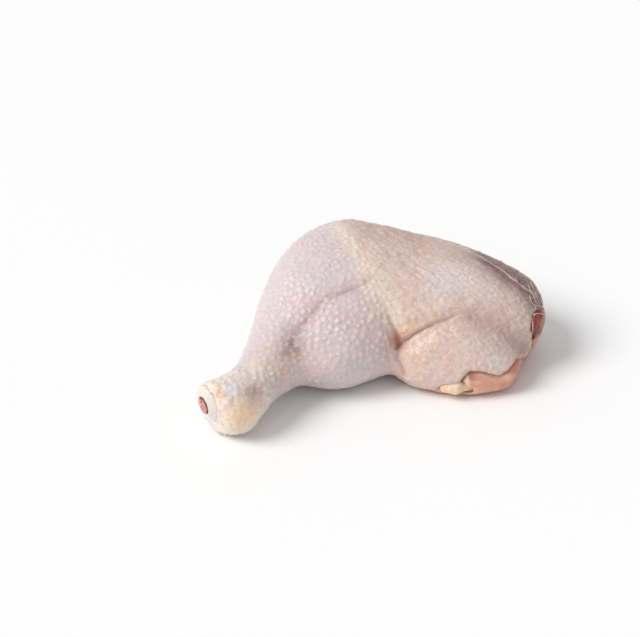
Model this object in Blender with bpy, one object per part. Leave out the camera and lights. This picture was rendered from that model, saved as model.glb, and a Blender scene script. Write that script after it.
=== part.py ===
"""Raw chicken leg quarter, resting on its cut side with the skin up.

Metres, +Z up, origin at the middle of its underside.  The drumstick points to -X and -Y,
and the thigh's cut end points to +X.  The whole form is one smooth function of position,
negative inside the flesh, which limbs, lumps and folds build up.  A rough mesh is drawn
onto that form, and the skin, the meat, the bone and its marrow are cut from it.
"""
import math

import bmesh
import bpy
import numpy as np
from mathutils import Matrix, Vector

# Thickness of the skin and the space that touching pieces keep
SKIN = 0.0014
GAP = 0.00035

# Ends of the two limbs' axes: the hock, the knee and the hip
HOCK = (-0.0767, -0.0643, 0.0130)
KNEE = (-0.0180, 0.0295, 0.0275)
HIP = (0.0815, 0.0115, 0.0200)

# Sections: distance from the axis's start, half width, half height, shift sideways, shift up
SHANK = [
    (-0.002, 0.0138, 0.0130, -0.0040, 0.0026),
    (0.004, 0.0156, 0.0144, -0.0025, 0.0018),
    (0.010, 0.0164, 0.0158, -0.0002, -0.0001),
    (0.020, 0.0140, 0.0130, 0.0026, 0.0),
    (0.030, 0.0123, 0.0118, 0.0037, 0.0),
    (0.044, 0.0150, 0.0140, 0.0034, 0.0),
    (0.060, 0.0196, 0.0176, 0.0026, 0.0),
    (0.078, 0.0240, 0.0214, 0.0020, 0.0),
    (0.096, 0.0262, 0.0235, 0.0022, 0.0),
    (0.116, 0.0250, 0.0228, 0.0017, 0.0),
    (0.136, 0.0200, 0.0200, 0.0, 0.0),
]
THIGH = [
    (-0.026, 0.0250, 0.0200, 0.0, -0.0010),
    (0.000, 0.0370, 0.0245, 0.0, -0.0015),
    (0.030, 0.0450, 0.0277, 0.0, -0.0015),
    (0.060, 0.0400, 0.0265, 0.0, -0.0015),
    (0.086, 0.0290, 0.0220, 0.0, -0.0015),
    (0.106, 0.0190, 0.0160, 0.0, -0.0010),
]
THIGH_SQUARENESS = 2.2

# The calf's bulge, as an ellipsoid turned about Z and then tipped up, in degrees
CALF_PLACE = (-0.0105, 0.0005, 0.0203)
CALF_SIZE = (0.0385, 0.0250, 0.0227)
CALF_TURN = 58.0
CALF_TIP = 5.0

# The loose lower lobe of the thigh, in front of the crease
FLAP_NEAR = (0.0185, -0.0170, 0.0145)
FLAP_FAR = (0.0625, -0.0145, 0.0105)
FLAP = [
    (-0.010, 0.0080, 0.0090, 0.0, 0.0),
    (0.006, 0.0135, 0.0150, 0.0, 0.0),
    (0.028, 0.0165, 0.0160, 0.0, 0.0),
    (0.051, 0.0120, 0.0105, 0.0, 0.0),
]

# How softly each lump runs into its neighbours
HOCK_ROUNDING = 0.007
HIP_ROUNDING = 0.020
KNEE_BLEND = 0.022
CALF_BLEND = 0.009
FLAP_ROUNDING = 0.009
FLAP_BLEND_NEAR = 0.005
FLAP_BLEND_FAR = 0.015
FLAP_BLEND_STARTS = 0.015
FLAP_BLEND_RUN = 0.050
FLOOR_ROUNDING = 0.003

# Folds in the surface: a route through the flesh, the half width, and the depth at its two ends
KNEE_PIT = [
    (0.0036, -0.0102, 0.0432),
    (0.0073, -0.0164, 0.0380),
    (0.0102, -0.0200, 0.0324),
    (0.0116, -0.0234, 0.0279),
    (0.0106, -0.0270, 0.0228),
    (0.0100, -0.0300, 0.0100),
]
THIGH_CREASE = [
    (0.0116, -0.0228, 0.0286),
    (0.0182, -0.0213, 0.0322),
    (0.0259, -0.0187, 0.0355),
    (0.0341, -0.0159, 0.0372),
    (0.0414, -0.0123, 0.0388),
    (0.0474, -0.0074, 0.0408),
]
CALF_SEAM = [
    (-0.0092, -0.0037, 0.0475),
    (-0.0251, -0.0108, 0.0441),
    (-0.0327, -0.0193, 0.0388),
    (-0.0406, -0.0332, 0.0304),
]
HIP_VALLEY = [
    (0.0472, -0.0133, 0.0366),
    (0.0617, -0.0156, 0.0301),
    (0.0676, -0.0173, 0.0254),
    (0.0732, -0.0141, 0.0186),
]
FOLDS = [
    (KNEE_PIT, 0.0040, (0.0005, 0.0045)),
    (THIGH_CREASE, 0.0038, (0.0040, 0.0008)),
    (CALF_SEAM, 0.0050, (0.0008, 0.0016)),
    (HIP_VALLEY, 0.0060, (0.0006, 0.0026)),
]

# The cut face at the hock: its middle, the way it faces, and how round its edge is
HOCK_FACE = (-0.0784, -0.0578, 0.0184)
HOCK_WAY = (-0.80, -0.58, -0.10)
HOCK_EDGE = 0.005

# The cut face at the hip, where the skin ends
HIP_FACE = (0.0776, -0.0030, 0.0250)
HIP_WAY = (0.953, -0.304, 0.0)

# Height of the skin's lower edge: along the front by x, and elsewhere under the thigh
FRONT_HEM = [
    (0.010, 0.0030),
    (0.030, 0.0052),
    (0.0350, 0.0078),
    (0.0405, 0.0115),
    (0.0435, 0.0165),
    (0.0480, 0.0172),
    (0.0535, 0.0153),
    (0.0590, 0.0128),
    (0.0660, 0.0158),
    (0.0725, 0.0195),
    (0.0900, 0.0205),
]
HEM = 0.0045
HEM_OFF = -0.0030

# The front's hem fades into the rest over this run, which reaches further back at the hip end
HEM_FADE = 0.015
HIP_END_STARTS = 0.065
HIP_END_RUN = 0.010

# How far past the skin's edge the meat starts to come out to the surface, and over what run
BARE_BELOW_HEM = 0.0010
BARE_RUN = 0.0035
BARE_RUN_AT_HIP = 0.0025

# The hem starts past a line across the underside, just beyond the drumstick
HEM_LINE = (0.0100, -0.0300)
HEM_LINE_WAY = (0.976, 0.217)
HEM_RUN = 0.005

# The bone: distance from the cut face and radius, and how far its cartilage domes out
CARTILAGE_RISE = 0.0032
CARTILAGE_RADIUS = 0.0093
BONE_SECTIONS = [
    (0.0, CARTILAGE_RADIUS),
    (0.004, 0.0092),
    (0.009, 0.0080),
    (0.015, 0.0064),
    (0.022, 0.0052),
    (0.034, 0.0048),
    (0.060, 0.0048),
    (0.084, 0.0052),
    (0.094, 0.0050),
    (0.099, 0.0038),
]
BONE_SIDES = 16
DOME_STEPS = 3

# Places along the shank's axis, past the bone's bend, that the bone runs through:
# distance from the hock and shift sideways
BONE_BEND = (0.024, 0.0030)
BONE_MIDDLE = (0.060, 0.0026)
BONE_END = (0.104, 0.0020)

# The marrow's plug in the bone's end
MARROW_LONG = 0.0042
MARROW_SHORT = 0.0036
MARROW_DEPTH = 0.0060
MARROW_SUNK = 0.0004
MARROW_SIDES = 14
SOCKET_PAST_TOP = 0.0025

# The meat starts this far along the shank, past the tendons
MEAT_STARTS = 0.024

# Lumps that show past the skin's edge: middle, half sizes, turn about Z
BACK_MEAT = ((0.0775, 0.0040, 0.0238), (0.0120, 0.0064, 0.0078), 72.0)
THIGH_FAT = ((0.0395, -0.0280, 0.0072), (0.0095, 0.0042, 0.0052), 3.0)

# How finely the surfaces are meshed
VOXEL = 0.0022
OUTER_TRIANGLES = 4400
MEAT_TRIANGLES = 2400
HEM_BLOCK_STEP = 0.004
SMOOTH_ANGLE = math.radians(50.0)

# Cutting blocks: the hem block's span in X and Y and its depth, and the hip block's size
HEM_BLOCK_X = (-0.012, 0.100)
HEM_BLOCK_Y = (-0.080, 0.080)
HEM_BLOCK_BOTTOM = -0.010
HIP_BLOCK_SIZE = 0.060

# Points this close to the floor lie on it, and a point moves at most this far in one round
ON_FLOOR = 0.00015
LONGEST_MOVE = 0.003
FLATTEST_SLOPE = 0.3

# Colour, roughness and metallic value of each piece
FINISHES = {
    "skin": ((0.80, 0.60, 0.55), 0.32, 0.0),
    "meat": ((0.72, 0.30, 0.24), 0.30, 0.0),
    "shin_bone": ((0.86, 0.82, 0.78), 0.30, 0.0),
    "marrow": ((0.52, 0.12, 0.10), 0.35, 0.0),
    "back_meat": ((0.50, 0.12, 0.07), 0.30, 0.0),
    "thigh_fat": ((0.84, 0.70, 0.46), 0.35, 0.0),
}


def unit(way):
    """The way, one long."""
    way = np.asarray(way, float)
    return way / np.linalg.norm(way)


def ease(x):
    """0 below 0, 1 above 1, and a smooth run between them."""
    x = np.clip(x, 0.0, 1.0)
    return x * x * (3.0 - 2.0 * x)


def smooth_min(a, b, width):
    """The lower of two fields, rounded where they are within width of each other."""
    closeness = np.maximum(width - np.abs(a - b), 0.0) / width
    return np.minimum(a, b) - closeness * closeness * width / 4.0


def smooth_max(a, b, width):
    """The higher of two fields, rounded in the same way."""
    return -smooth_min(-a, -b, width)


def smooth_table(x, rows):
    """Values at x on smooth curves through the rows, whose first number is their place."""
    rows = np.asarray(rows, float)
    places, values = rows[:, 0], rows[:, 1:]
    slopes = np.gradient(values, places, axis=0)
    x = np.clip(x, places[0], places[-1])
    i = np.clip(np.searchsorted(places, x) - 1, 0, len(places) - 2)
    run = (places[i + 1] - places[i])[..., None]
    t = (x - places[i])[..., None] / run
    start, end = values[i], values[i + 1]
    return (
        (2 * t**3 - 3 * t**2 + 1) * start
        + (t**3 - 2 * t**2 + t) * run * slopes[i]
        + (3 * t**2 - 2 * t**3) * end
        + (t**3 - t**2) * run * slopes[i + 1]
    )


def limb(p, start, end, sections, rounding, squareness=2.0):
    """Field of a limb with a straight axis and oval sections that change along it."""
    start = np.asarray(start, float)
    axis = unit(np.subtract(end, start))
    side = unit(np.cross(axis, (0.0, 0.0, 1.0)))
    up = np.cross(side, axis)
    q = p - start
    along = q @ axis
    width, height, shift_side, shift_up = np.moveaxis(smooth_table(along, sections), -1, 0)
    across = np.abs(q @ side - shift_side) / width
    above = np.abs(q @ up - shift_up) / height
    reach = (across**squareness + above**squareness) ** (1.0 / squareness)
    wall = (reach - 1.0) * np.minimum(width, height)
    first, last = sections[0][0], sections[-1][0]
    past_end = np.abs(along - (first + last) / 2) - (last - first) / 2
    return smooth_max(wall, past_end, rounding)


def lump(p, place, size, turn, tip=0.0):
    """Field of an ellipsoid."""
    turn, tip = math.radians(turn), math.radians(tip)
    level = np.array([math.cos(turn), math.sin(turn), 0.0])
    long_way = level * math.cos(tip) + np.array([0.0, 0.0, math.sin(tip)])
    side_way = np.array([-math.sin(turn), math.cos(turn), 0.0])
    ways = np.stack([long_way, side_way, np.cross(long_way, side_way)], axis=1)
    q = (p - np.asarray(place, float)) @ ways
    size = np.asarray(size, float)
    reach = np.linalg.norm(q / size, axis=-1)
    steepness = np.linalg.norm(q / size**2, axis=-1)
    return reach * (reach - 1.0) / np.maximum(steepness, 1e-9)


def fold(p, route, width, depths):
    """How far a fold along the route draws the surface in at p."""
    route = np.asarray(route, float)
    lengths = np.linalg.norm(np.diff(route, axis=0), axis=1)
    nearest = np.full(p.shape[:-1], np.inf)
    share = np.zeros(p.shape[:-1])
    passed = 0.0
    for a, b, length in zip(route[:-1], route[1:], lengths):
        t = np.clip((p - a) @ (b - a) / length**2, 0.0, 1.0)
        away = np.linalg.norm(p - a - t[..., None] * (b - a), axis=-1)
        closer = away < nearest
        nearest = np.where(closer, away, nearest)
        share = np.where(closer, (passed + t * length) / lengths.sum(), share)
        passed += length
    depth = depths[0] + (depths[1] - depths[0]) * share
    return depth * np.exp(-((nearest / width) ** 2))


def leg(p):
    """Field of the whole leg quarter: negative inside, about the distance in metres."""
    shank = limb(p, HOCK, KNEE, SHANK, HOCK_ROUNDING)
    shank = smooth_max(shank, (p - np.array(HOCK_FACE)) @ unit(HOCK_WAY), HOCK_EDGE)
    thigh = limb(p, KNEE, HIP, THIGH, HIP_ROUNDING, THIGH_SQUARENESS)
    calf = lump(p, CALF_PLACE, CALF_SIZE, CALF_TURN, CALF_TIP)
    flap = limb(p, FLAP_NEAR, FLAP_FAR, FLAP, FLAP_ROUNDING)
    form = smooth_min(shank, thigh, KNEE_BLEND)
    form = smooth_min(form, calf, CALF_BLEND)
    reach = np.clip((p[..., 0] - FLAP_BLEND_STARTS) / FLAP_BLEND_RUN, 0.0, 1.0)
    blend = FLAP_BLEND_NEAR + (FLAP_BLEND_FAR - FLAP_BLEND_NEAR) * reach
    form = smooth_min(form, flap, blend)
    for route, width, depths in FOLDS:
        form = form + fold(p, route, width, depths)
    return smooth_max(form, -p[..., 2], FLOOR_ROUNDING)


def hem_height(x, y):
    """Height of the skin's lower edge over a place on the floor."""
    front = smooth_table(x, FRONT_HEM)[..., 0]
    end = ease((x - HIP_END_STARTS) / HIP_END_RUN)
    in_front = ease((HEM_FADE * end - y) / HEM_FADE)
    height = HEM + (front - HEM) * in_front
    past = (x - HEM_LINE[0]) * HEM_LINE_WAY[0] + (y - HEM_LINE[1]) * HEM_LINE_WAY[1]
    return HEM_OFF + (height - HEM_OFF) * ease((past + HEM_RUN) / (2.0 * HEM_RUN))


def bareness(p):
    """0 under the skin and 1 where the meat comes out to the surface past its edge."""
    below = hem_height(p[:, 0], p[:, 1]) - p[:, 2]
    beyond = (p - np.array(HIP_FACE)) @ unit(HIP_WAY)
    return np.maximum(ease((below - BARE_BELOW_HEM) / BARE_RUN), ease(beyond / BARE_RUN_AT_HIP))


def read_points(mesh):
    """A mesh's points as an array."""
    points = np.empty(len(mesh.vertices) * 3)
    mesh.vertices.foreach_get("co", points)
    return points.reshape(-1, 3)


def write_points(mesh, points):
    """Moves a mesh's points, and lays those that are almost on the floor down on it."""
    points = points.copy()
    points[np.abs(points[:, 2]) < ON_FLOOR, 2] = 0.0
    mesh.vertices.foreach_set("co", points.astype(np.float32).ravel())
    mesh.update()


def slope(field, p, step=0.0002):
    """How a field changes along X, Y and Z."""
    rises = [field(p + step * way) - field(p - step * way) for way in np.eye(3)]
    return np.stack(rises, axis=-1) / (2.0 * step)


def settle(mesh, field, rounds, relaxing):
    """Draws a mesh's points onto the zero of a field, evening out their spacing."""
    points = read_points(mesh)
    edges = np.empty(len(mesh.edges) * 2, dtype=int)
    mesh.edges.foreach_get("vertices", edges)
    edges = edges.reshape(-1, 2)
    count = np.bincount(edges.ravel(), minlength=len(points))[:, None]
    for _ in range(rounds):
        total = np.zeros_like(points)
        np.add.at(total, edges[:, 0], points[edges[:, 1]])
        np.add.at(total, edges[:, 1], points[edges[:, 0]])
        ways = slope(field, points)
        steep = np.linalg.norm(ways, axis=1, keepdims=True)
        ways /= np.maximum(steep, 1e-6)
        pull = total / count - points
        pull -= np.sum(pull * ways, axis=1, keepdims=True) * ways
        points = points + relaxing * pull
        miss = field(points)[:, None] / np.maximum(steep, FLATTEST_SLOPE)
        points = points - np.clip(miss, -LONGEST_MOVE, LONGEST_MOVE) * ways
    write_points(mesh, points)


def finish_of(name):
    """The piece's own material."""
    colour, roughness, metallic = FINISHES[name]
    material = bpy.data.materials.new(name)
    material.use_nodes = True
    shader = material.node_tree.nodes["Principled BSDF"]
    shader.inputs["Base Color"].default_value = (*colour, 1.0)
    shader.inputs["Roughness"].default_value = roughness
    shader.inputs["Metallic"].default_value = metallic
    material.diffuse_color = (*colour, 1.0)
    return material


def new_object(name, mesh):
    """An object with the mesh, in the scene."""
    thing = bpy.data.objects.new(name, mesh)
    bpy.context.scene.collection.objects.link(thing)
    return thing


def as_evaluated(thing, name):
    """A plain mesh of the object with its modifiers applied."""
    bpy.context.view_layer.update()
    graph = bpy.context.evaluated_depsgraph_get()
    mesh = bpy.data.meshes.new_from_object(thing.evaluated_get(graph))
    mesh.name = name
    return mesh


def reduced(thing, triangles, name):
    """The object's mesh with about so many triangles."""
    mesh = thing.data
    mesh.calc_loop_triangles()
    fewer = thing.modifiers.new("Fewer", "DECIMATE")
    fewer.ratio = min(1.0, triangles / len(mesh.loop_triangles))
    fewer.use_collapse_triangulate = True
    return as_evaluated(thing, name)


def rough_leg():
    """Rough start: ovals along both limbs, run together and meshed evenly."""
    bm = bmesh.new()
    rows = [(HOCK, KNEE, SHANK), (KNEE, HIP, THIGH), (FLAP_NEAR, FLAP_FAR, FLAP)]
    for start, end, sections in rows:
        axis = unit(np.subtract(end, start))
        turn = Matrix.Rotation(math.atan2(axis[1], axis[0]), 4, "Z")
        for along, width, height, _, _ in sections:
            place = Matrix.Translation(Vector(np.add(start, axis * along)))
            add_oval(bm, place @ turn @ Matrix.Diagonal((height, width, height, 1.0)))
    calf_turn = Matrix.Rotation(math.radians(CALF_TURN), 4, "Z")
    add_oval(bm, Matrix.Translation(CALF_PLACE) @ calf_turn @ Matrix.Diagonal((*CALF_SIZE, 1.0)))
    mesh = bpy.data.meshes.new("rough_leg")
    bm.to_mesh(mesh)
    bm.free()
    return mesh


def add_oval(bm, matrix):
    """Adds a ball of radius 1, stretched and placed by the matrix."""
    bmesh.ops.create_uvsphere(bm, u_segments=16, v_segments=10, radius=1.0, matrix=matrix)


def evenly_meshed(mesh):
    """The closed mesh's outside in even quads."""
    rough = new_object("rough", mesh)
    even = rough.modifiers.new("Even", "REMESH")
    even.mode = "VOXEL"
    even.voxel_size = VOXEL
    fine = as_evaluated(rough, "leg_form")
    bpy.data.objects.remove(rough)
    return fine


def make_leg_form():
    """The whole form, finely meshed."""
    mesh = evenly_meshed(rough_leg())
    settle(mesh, leg, 16, 0.5)
    mesh = evenly_meshed(mesh)
    settle(mesh, leg, 10, 0.5)
    settle(mesh, leg, 3, 0.1)
    return new_object("leg_form", mesh)


def make_meat_form(form):
    """The meat: the form drawn in by the skin's thickness, and out again where it is bare."""
    mesh = form.data.copy()
    points = read_points(mesh)
    ways = slope(leg, points)
    ways /= np.linalg.norm(ways, axis=1, keepdims=True)
    inset = (SKIN + GAP) * (1.0 - bareness(points))
    write_points(mesh, points - inset[:, None] * ways)
    start = Vector(np.add(HOCK, unit(np.subtract(KNEE, HOCK)) * MEAT_STARTS))
    bm = bmesh.new()
    bm.from_mesh(mesh)
    everything = bm.verts[:] + bm.edges[:] + bm.faces[:]
    cut = bmesh.ops.bisect_plane(
        bm, geom=everything, plane_co=start,
        plane_no=Vector(np.subtract(HOCK, KNEE)), clear_outer=True
    )
    rim = [part for part in cut["geom_cut"] if isinstance(part, bmesh.types.BMEdge)]
    bmesh.ops.triangle_fill(bm, edges=rim, use_beauty=True)
    bmesh.ops.recalc_face_normals(bm, faces=bm.faces)
    bm.to_mesh(mesh)
    bm.free()
    fine = new_object("fine_meat", mesh)
    coarse = reduced(fine, MEAT_TRIANGLES, "meat")
    bpy.data.objects.remove(fine)
    write_points(coarse, read_points(coarse))
    return new_object("meat", coarse)


def loft(name, rings):
    """A closed piece through rings of points, each end closed by a fan round its middle."""
    bm = bmesh.new()
    rows = [[bm.verts.new(point) for point in ring] for ring in rings]
    for low, high in zip(rows[:-1], rows[1:]):
        for i in range(len(low)):
            j = (i + 1) % len(low)
            bm.faces.new((low[i], low[j], high[j], high[i]))
    for row in (rows[0], rows[-1]):
        middle = bm.verts.new(sum((vert.co for vert in row), Vector()) / len(row))
        for i in range(len(row)):
            bm.faces.new((row[i], row[(i + 1) % len(row)], middle))
    bmesh.ops.recalc_face_normals(bm, faces=bm.faces)
    bmesh.ops.triangulate(bm, faces=bm.faces)
    mesh = bpy.data.meshes.new(name)
    bm.to_mesh(mesh)
    bm.free()
    return new_object(name, mesh)


def ring(middle, way, long_radius, short_radius, sides):
    """Points on an oval round the middle, square to the way."""
    way = unit(way)
    side = unit(np.cross(way, (0.0, 0.0, 1.0)))
    up = np.cross(side, way)
    turns = np.linspace(0.0, 2.0 * math.pi, sides, endpoint=False)
    return [
        Vector(middle + long_radius * math.sin(t) * up + short_radius * math.cos(t) * side)
        for t in turns
    ]


def place_on_shank(along, sideways):
    """A place by its distance from the hock and its shift to the side."""
    axis = unit(np.subtract(KNEE, HOCK))
    side = unit(np.cross(axis, (0.0, 0.0, 1.0)))
    return np.array(HOCK) + along * axis + sideways * side


def on_route(route, depth):
    """The place and the direction at a depth along a smooth route."""
    lengths = np.linalg.norm(np.diff(route, axis=0), axis=1)
    marks = np.concatenate([[0.0], np.cumsum(lengths)])
    rows = [(mark, *place) for mark, place in zip(marks, route)]
    before, at, after = smooth_table(np.array([depth - 0.001, depth, depth + 0.001]), rows)
    return at, unit(after - before)


def make_shin_bone():
    """The shin bone with its cartilage dome at the hock."""
    face, way = np.array(HOCK_FACE), unit(HOCK_WAY)
    route = [face] + [place_on_shank(*spot) for spot in (BONE_BEND, BONE_MIDDLE, BONE_END)]
    rings = []
    for step in range(1, DOME_STEPS + 1):
        share = step / (DOME_STEPS + 0.5)
        radius = CARTILAGE_RADIUS * share
        rise = CARTILAGE_RISE * (1.0 - share**2)
        rings.append(ring(face + rise * way, way, radius, radius, BONE_SIDES))
    for depth, radius in BONE_SECTIONS:
        middle, along = on_route(route, depth)
        if depth == 0.0:
            along = -way
        rings.append(ring(middle, -along, radius, radius, BONE_SIDES))
    return loft("shin_bone", rings)


def make_plug(name, top, bottom, grow):
    """An oval plug in the bone's end, between two heights over the cut face."""
    face, way = np.array(HOCK_FACE), unit(HOCK_WAY)
    rings = []
    for level, share in ((top, 1.0), ((top + bottom) / 2, 0.97), (bottom, 0.85)):
        long_radius = MARROW_LONG * share + grow
        short_radius = MARROW_SHORT * share + grow
        rings.append(ring(face + level * way, way, long_radius, short_radius, MARROW_SIDES))
    return loft(name, rings)


def make_marrow():
    """The marrow, sunk a little into the cartilage."""
    top = CARTILAGE_RISE - MARROW_SUNK
    return make_plug("marrow", top, top - MARROW_DEPTH, 0.0)


def make_socket():
    """The room for the marrow, out past the cartilage's top."""
    bottom = CARTILAGE_RISE - MARROW_SUNK - MARROW_DEPTH - GAP
    return as_cutter(make_plug("marrow_socket", CARTILAGE_RISE + SOCKET_PAST_TOP, bottom, GAP))


def make_lump(name, place, size, turn):
    """An egg-shaped lump of fat or meat."""
    bm = bmesh.new()
    matrix = Matrix.Translation(place) @ Matrix.Rotation(math.radians(turn), 4, "Z")
    matrix = matrix @ Matrix.Diagonal((*size, 1.0))
    bmesh.ops.create_icosphere(bm, subdivisions=2, radius=1.0, matrix=matrix)
    mesh = bpy.data.meshes.new(name)
    bm.to_mesh(mesh)
    bm.free()
    return new_object(name, mesh)


def make_hem_block():
    """Everything under the skin's lower edge, as a block with a wavy top."""
    xs = np.arange(*HEM_BLOCK_X, HEM_BLOCK_STEP)
    ys = np.arange(*HEM_BLOCK_Y, HEM_BLOCK_STEP)
    bm = bmesh.new()
    grid_x, grid_y = np.meshgrid(xs, ys, indexing="ij")
    heights = hem_height(grid_x, grid_y)
    tops = [
        [bm.verts.new((x, y, heights[i, j])) for j, y in enumerate(ys)] for i, x in enumerate(xs)
    ]
    for i in range(len(xs) - 1):
        for j in range(len(ys) - 1):
            corners = tops[i][j], tops[i + 1][j], tops[i + 1][j + 1], tops[i][j + 1]
            bm.faces.new(corners)
    deep = bmesh.ops.extrude_face_region(bm, geom=bm.faces[:])
    for vert in deep["geom"]:
        if isinstance(vert, bmesh.types.BMVert):
            vert.co.z = HEM_BLOCK_BOTTOM
    bmesh.ops.recalc_face_normals(bm, faces=bm.faces)
    bmesh.ops.triangulate(bm, faces=bm.faces)
    mesh = bpy.data.meshes.new("hem_block")
    bm.to_mesh(mesh)
    bm.free()
    return new_object("hem_block", mesh)


def make_hip_block():
    """Everything past the cut face at the hip."""
    way = Vector(HIP_WAY).normalized()
    turn = way.to_track_quat("Z", "Y").to_matrix().to_4x4()
    place = Matrix.Translation(Vector(HIP_FACE) + way * HIP_BLOCK_SIZE / 2)
    bm = bmesh.new()
    bmesh.ops.create_cube(bm, size=HIP_BLOCK_SIZE, matrix=place @ turn)
    mesh = bpy.data.meshes.new("hip_block")
    bm.to_mesh(mesh)
    bm.free()
    return new_object("hip_block", mesh)


def as_cutter(thing):
    """Keeps a cutting shape out of sight."""
    thing.hide_render = True
    thing.display_type = "WIRE"
    return thing


def swollen(piece, grow=GAP):
    """A hidden copy of the piece, a little larger all round, that cuts its neighbours."""
    thing = new_object(piece.name + "_room", piece.data.copy())
    swell = thing.modifiers.new("Swell", "DISPLACE")
    swell.mid_level = 0.0
    swell.strength = grow
    return as_cutter(thing)


def cut(piece, *cutters):
    """Takes each cutter out of the piece."""
    for cutter in cutters:
        away = piece.modifiers.new(cutter.name, "BOOLEAN")
        away.operation = "DIFFERENCE"
        away.solver = "EXACT"
        away.object = cutter


def dress(piece):
    """Gives the piece its material and smooth shading."""
    piece.data.materials.clear()
    piece.data.materials.append(finish_of(piece.name))
    piece.data.shade_smooth()
    piece.data.set_sharp_from_angle(angle=SMOOTH_ANGLE)


def main():
    for thing in list(bpy.data.objects):
        bpy.data.objects.remove(thing)
    form = make_leg_form()
    meat = make_meat_form(form)
    outer = reduced(form, OUTER_TRIANGLES, "skin")
    bpy.data.objects.remove(form)
    settle(outer, leg, 3, 0.0)
    skin = new_object("skin", outer)
    bone = make_shin_bone()
    marrow = make_marrow()
    back_meat = make_lump("back_meat", *BACK_MEAT)
    fat = make_lump("thigh_fat", *THIGH_FAT)
    hem = as_cutter(make_hem_block())
    hip_end = as_cutter(make_hip_block())
    socket = make_socket()
    bone_room, meat_room = swollen(bone), swollen(meat)
    back_room, fat_room = swollen(back_meat), swollen(fat)
    cut(skin, hem, hip_end, meat_room, bone_room, back_room, fat_room)
    cut(meat, bone_room, back_room, fat_room)
    cut(bone, socket)
    for piece in (skin, meat, bone, marrow, back_meat, fat):
        dress(piece)


main()
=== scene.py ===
"""Looks of a raw chicken leg quarter: its bumpy wet skin, the meat, fat and bone that show."""
import math

import bmesh
import bpy
import numpy as np
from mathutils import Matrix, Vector
from mathutils.bvhtree import BVHTree
from mathutils.kdtree import KDTree


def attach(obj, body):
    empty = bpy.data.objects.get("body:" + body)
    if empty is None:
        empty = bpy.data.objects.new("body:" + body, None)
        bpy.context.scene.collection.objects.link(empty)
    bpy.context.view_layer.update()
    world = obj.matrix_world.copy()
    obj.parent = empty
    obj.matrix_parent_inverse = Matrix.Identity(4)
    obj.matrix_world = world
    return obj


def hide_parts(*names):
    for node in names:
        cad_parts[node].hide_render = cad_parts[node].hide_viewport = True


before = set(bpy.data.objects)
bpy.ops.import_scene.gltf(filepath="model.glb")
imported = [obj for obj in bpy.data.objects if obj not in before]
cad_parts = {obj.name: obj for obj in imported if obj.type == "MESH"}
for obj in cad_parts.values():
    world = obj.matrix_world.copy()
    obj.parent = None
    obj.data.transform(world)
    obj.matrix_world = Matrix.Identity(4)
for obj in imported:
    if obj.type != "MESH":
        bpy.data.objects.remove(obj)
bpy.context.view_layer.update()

MM = 0.001

# How finely the pieces are meshed
SKIN_VOXEL = 0.70 * MM
MEAT_VOXEL = 0.85 * MM
SMALL_VOXEL = 0.40 * MM
MARROW_VOXEL = 0.22 * MM

# How deep the fat and the dark meat sink where skin covers them
COVERED_SUNK = 1.6 * MM

# The skin: its reach past the solid's edge, its thickness, the share of that left at the edge,
# and the share of its faces kept
SKIN_REACH = 0.42 * MM
SKIN_THICKNESS = 1.2 * MM
EDGE_THINNING = 0.55
INSIDE_KEPT = 0.52

# Goosebumps: least spacing, radius and height, and the width of the furrows between them
BUMP_SPACING = 2.8 * MM
BUMP_RADIUS = 1.75 * MM
BUMP_HEIGHT = 0.72 * MM
FURROW_WIDTH = 0.45 * MM

# The drumstick's axis and the upright plane where the skin's look changes at the knee
HOCK = np.array((-0.0767, -0.0643, 0.0130))
KNEE = np.array((-0.0180, 0.0295, 0.0275))
KNEE_PLANE = np.array((0.939, 0.344, 0.0))

# Routes along the surface: the folds, the band of fat and the hip's end
CREASE = np.array([
    (0.0100, -0.0236, 0.0262),
    (0.0182, -0.0213, 0.0322),
    (0.0259, -0.0187, 0.0355),
    (0.0341, -0.0159, 0.0372),
    (0.0414, -0.0123, 0.0388),
    (0.0474, -0.0074, 0.0408),
])
KNEE_PIT = np.array([
    (0.0036, -0.0102, 0.0432),
    (0.0073, -0.0164, 0.0380),
    (0.0102, -0.0200, 0.0324),
    (0.0116, -0.0234, 0.0279),
    (0.0106, -0.0270, 0.0228),
    (0.0100, -0.0300, 0.0100),
])
CALF_SEAM = np.array([
    (-0.0040, 0.0010, 0.0490),
    (-0.0092, -0.0037, 0.0475),
    (-0.0169, -0.0070, 0.0462),
    (-0.0251, -0.0108, 0.0441),
    (-0.0327, -0.0193, 0.0388),
    (-0.0378, -0.0265, 0.0345),
    (-0.0420, -0.0345, 0.0300),
])
HIP_VALLEY = np.array([
    (0.0472, -0.0133, 0.0366),
    (0.0550, -0.0133, 0.0343),
    (0.0617, -0.0156, 0.0301),
    (0.0676, -0.0173, 0.0254),
    (0.0732, -0.0141, 0.0186),
])
FAT_BAND = np.array([
    (-0.0164, 0.0461, 0.0533),
    (-0.0055, 0.0151, 0.0531),
    (0.0023, -0.0056, 0.0459),
    (0.0070, -0.0140, 0.0400),
])
ABOVE_CREASE = np.array([
    (0.0130, -0.0195, 0.0330),
    (0.0212, -0.0175, 0.0350),
    (0.0309, -0.0140, 0.0375),
    (0.0400, -0.0080, 0.0405),
])
HIP_END = np.array([
    (0.0600, 0.0130, 0.0440),
    (0.0690, 0.0110, 0.0410),
    (0.0760, 0.0080, 0.0370),
    (0.0810, 0.0080, 0.0320),
])
RIM_STRAND = np.array([
    (0.0400, 0.0455, 0.0452),
    (0.0532, 0.0308, 0.0448),
    (0.0610, 0.0222, 0.0436),
    (0.0678, 0.0151, 0.0416),
    (0.0740, 0.0107, 0.0385),
    (0.0797, 0.0106, 0.0340),
])

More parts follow.
